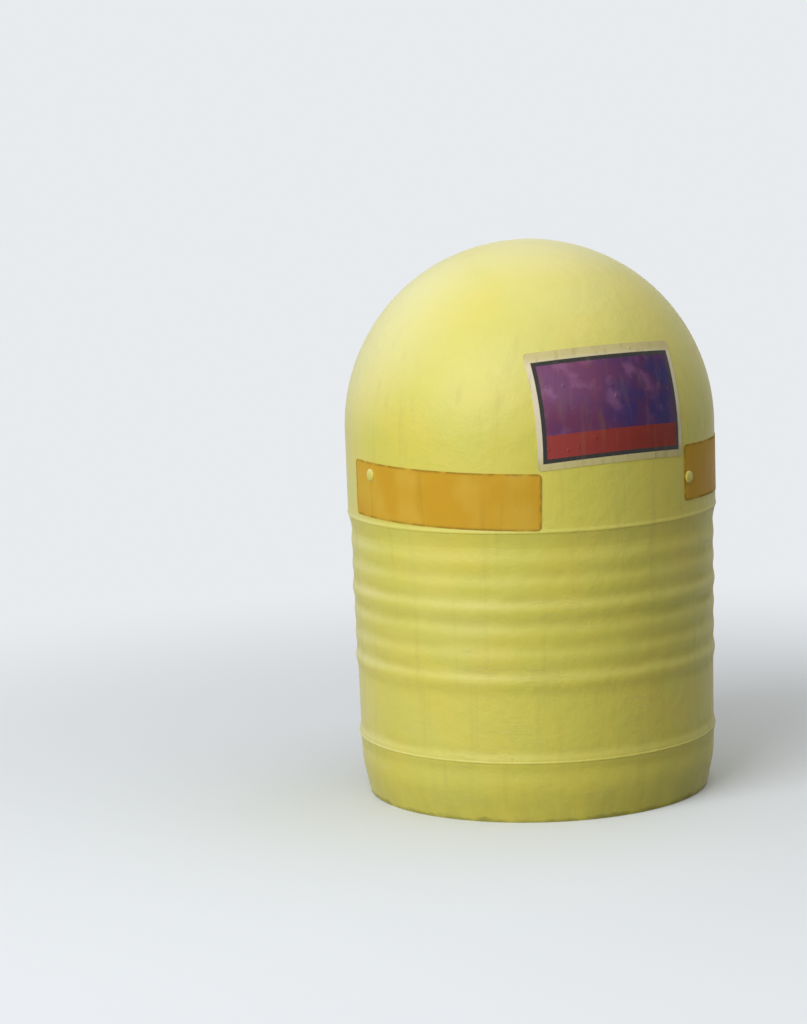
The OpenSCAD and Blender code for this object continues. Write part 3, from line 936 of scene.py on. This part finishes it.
# Mooring lug
# A round-ended plate welded under the flange, with a boss plate welded on each side of its hole to spread
# the pull of the pin.
def blended(node, name, voxel, passes, material):
    """The node's own shape with its corners melted together, as forging, casting or grinding leaves it."""
    piece = own_shape(node, name)
    melt = piece.modifiers.new("melt", "REMESH")
    melt.mode = "VOXEL"
    melt.voxel_size = voxel
    ease = piece.modifiers.new("ease", "SMOOTH")
    ease.factor = 0.5
    ease.iterations = passes
    applied(piece)
    piece.data.materials.clear()
    piece.data.materials.append(material)
    return piece


fine_voxel = 0.0009
lug = blended("mooring_lug", "mooring_lug_steel", fine_voxel, passes=4, material=zinc)
take_over(lug, "buoy", "galvanised_steel", "mooring_lug")

# One bead runs round the plate's foot and one round each boss
boss_r = 0.03
lug_half = 0.008
lug_weld_inset = 0.002
lug_weld_r = 0.0035
pin_z = frame["joints"][0]["pos_m"][2]
foot_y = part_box("mooring_lug")[1].y - lug_weld_inset
lug_foot = [(lug_half, -foot_y), (lug_half, foot_y), (-lug_half, foot_y), (-lug_half, -foot_y)]
lug_paths = [([(x, y, flange_low.z) for x, y in lug_foot], True)]
for face in (-lug_half, lug_half):
    ring, closes = circle_path(boss_r, face, "X", 64)
    lug_paths.append(([(x, y, z + pin_z) for x, y, z in ring], closes))
lug_welds = made_by("lug_welds", beading, {"Path": paths_piece("lug_seams", lug_paths),
                                           **bead_sizes, "Radius": lug_weld_r})
take_over(lug_welds, "buoy", "galvanised_steel")


# Mooring swivel
# A forged jaw that swings on a headed pin, and a forged eye whose stem turns in the jaw's crown. The pin's
# nut is locked by a split pin, and all of it is galvanised.
jaw = blended("swivel_jaw", "jaw_forging", fine_voxel, passes=6, material=zinc)
take_over(jaw, "jaw", "galvanised_steel", "swivel_jaw")

# The pin is drawn from the outer face of its head, along to its threaded end
pin_r = 0.012
pin_head_t = 0.009
head_round = 0.0025
head_back_round = 0.0015
thread_pitch = 0.003
thread_depth = 0.001
# A turn of the thread: how far along the pitch, and how deep
thread_shape = [(0.45, thread_depth), (0.55, thread_depth), (0.95, 0), (1, 0)]
pin_tip = 0.0015
pin_steps = 64
pin_low, pin_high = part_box("jaw_pin")
nut_low, nut_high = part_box("jaw_pin_nut")
head_r = pin_high.y
pin_end = pin_high.x - pin_low.x
thread_start = nut_low.x - pin_low.x

pin_line = [(0, 0)] + arc(head_r - head_round, head_round, head_round, -90, 0, 4)
pin_line += arc(head_r - head_back_round, pin_head_t - head_back_round, head_back_round, 0, 90, 3)
pin_line += [(pin_r, pin_head_t), (pin_r, thread_start)]
for _ in range(int((pin_end - thread_start - pin_tip) / thread_pitch)):
    base = pin_line[-1][1]
    pin_line += [(pin_r - cut, base + thread_pitch * share) for share, cut in thread_shape]
pin_line += [(pin_r - pin_tip, pin_end), (0, pin_end)]
pin = turned("jaw_pin_steel", pin_line, pin_steps, zinc)
pin.data.transform(lying((1, 0, 0), (pin_low.x, 0, pin_z)))
take_over(pin, "jaw", "galvanised_steel", "jaw_pin")

thread_bite = 0.0004
nut_rings = hex_rings(2 * nut_high.y, 0, nut_high.x - nut_low.x)
pin_nut = ringed("jaw_pin_nut_steel", nut_rings, zinc, bore=pin_r - thread_bite)
pin_nut.data.transform(lying((1, 0, 0), (nut_low.x, 0, pin_z)))
take_over(pin_nut, "jaw", "galvanised_steel", "jaw_pin_nut")

# The split pin's wire is bent to a loop, and its two legs are opened below the jaw's pin
wire_r = 0.0014
loop_r = 0.0035
loop_up = 0.0185
loop_steps = 20
# A leg's bends: how far out from the middle, and how far above the pin's axis
leg_bends = [(0.0008, 0.016), (0.0008, -0.0135), (0.003, -0.0165), (0.008, -0.0175)]
split_x = nut_high.x + 2 * wire_r
split_path = [([(split_x, hand * out, pin_z + up) for out, up in leg_bends], False) for hand in (-1, 1)]
loop = [(split_x, loop_r * math.cos(a), pin_z + loop_up + loop_r * math.sin(a))
        for a in (math.tau * i / loop_steps for i in range(loop_steps))]
split_path.append((loop, True))
split_pin = made_by("split_pin", beading, {
    "Path": paths_piece("split_wire", split_path), "Radius": wire_r, "Ripple": 0.0, "Ripple pitch": 0.003,
    "Lumps": 0.0, "Material": zinc})
take_over(split_pin, "jaw", "galvanised_steel")

stem_bore_r = 0.0102
eye = blended("swivel_eye", "eye_forging", fine_voxel, passes=8, material=zinc)
take_over(eye, "eye", "galvanised_steel", "swivel_eye")
stem_low, stem_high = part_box("swivel_nut")
stem_rings = hex_rings(2 * stem_high.y, stem_low.z, stem_high.z)
stem_nut = ringed("swivel_nut_steel", stem_rings, zinc, bore=stem_bore_r)
take_over(stem_nut, "eye", "galvanised_steel", "swivel_nut")


# Studio
# The floor lies at the waterline and shows from above only, so that the tail can be seen from below. A big
# soft lamp stands to the left of the camera, and the room's pale light fills the shade.
floor_half = 900
# The floor fades into the room between these distances from the buoy
fade_from = 0.45
fade_to = 2.3
room_tone = paint(232, 235, 238)
floor = new_piece("studio_floor", [(-floor_half, -floor_half, 0), (floor_half, -floor_half, 0),
                                   (floor_half, floor_half, 0), (-floor_half, floor_half, 0)],
                  (), [(0, 1, 2, 3)])
floor_paint, shader, start, place = new_finish("pale_floor")


def seen_directly(start):
    """1 where the camera sees a surface, also in a reflection or through glass, and 0 for its light."""
    rays = start.add("ShaderNodeLightPath")
    glossy = Wire(start.tree, rays.socket.node.outputs["Is Glossy Ray"])
    through = Wire(start.tree, rays.socket.node.outputs["Is Transmission Ray"])
    return rays.math("MAXIMUM", glossy).math("MAXIMUM", through)


seen = seen_directly(start)
away = place.add("ShaderNodeVectorMath", {0: place}, "Value", operation="LENGTH")
far = away.rise(fade_from, fade_to)
start.feed(shader, {"Base Color": seen.mix(paint(134, 136, 138), paint(233, 238, 245)),
                    "Roughness": 0.9, "Specular IOR Level": 0.1})
near_floor = Wire(start.tree, shader.outputs[0])
distance = start.add("ShaderNodeEmission", {"Color": room_tone, "Strength": 1.0})
surface = start.add("ShaderNodeMixShader", {0: seen * far, 1: near_floor, 2: distance})
under = start.add("ShaderNodeNewGeometry", output="Backfacing")
clear = start.add("ShaderNodeBsdfTransparent")
surface = start.add("ShaderNodeMixShader", {0: under, 1: surface, 2: clear})
start.tree.links.new(surface.socket, start.tree.nodes["Material Output"].inputs["Surface"])
floor.data.materials.append(floor_paint)

room = bpy.data.worlds.new("studio_room")
room.use_nodes = True
bpy.context.scene.world = room
start = Wire(room.node_tree)
dim = start.add("ShaderNodeBackground", {"Color": paint(243, 239, 227), "Strength": 0.28})
pale = start.add("ShaderNodeBackground", {"Color": room_tone, "Strength": 1.0})
light = start.add("ShaderNodeMixShader", {0: seen_directly(start), 1: dim, 2: pale})
start.tree.links.new(light.socket, start.tree.nodes["World Output"].inputs["Surface"])


def lamp(name, spot, aim, size, power, tint):
    """A square soft lamp at a place, facing another."""
    light = bpy.data.lights.new(name, "AREA")
    light.size = size
    light.energy = power
    light.color = tint
    holder = bpy.data.objects.new(name, light)
    holder.location = spot
    holder.rotation_euler = (Vector(aim) - Vector(spot)).to_track_quat("-Z", "Y").to_euler()
    bpy.context.scene.collection.objects.link(holder)


lamp("key_lamp", (-3.0, -4.1, 2.9), (0, 0, 0.5), 4.2, 282, (0.975, 0.99, 1.0))
lamp("top_lamp", (0.8, 0.3, 4.5), (0, 0, 0.5), 3.6, 62, (1.0, 1.0, 1.0))

camera_spot = (0, -5.5, 1.32)
camera_pan = math.radians(2.465)
camera_tilt = math.radians(8.304)
camera_roll = math.radians(-1.909)
camera_lens = 105.5
eye_glass = bpy.data.cameras.new("camera")
eye_glass.lens = camera_lens
eye_glass.clip_end = 200
camera = bpy.data.objects.new("camera", eye_glass)
aim = (Matrix.Rotation(camera_pan, 3, "Z") @ Matrix.Rotation(math.pi / 2 - camera_tilt, 3, "X")
       @ Matrix.Rotation(camera_roll, 3, "Z"))
camera.matrix_world = Matrix.Translation(camera_spot) @ aim.to_4x4()
bpy.context.scene.collection.objects.link(camera)
bpy.context.scene.camera = camera
bpy.context.scene.view_settings.view_transform = "Standard"
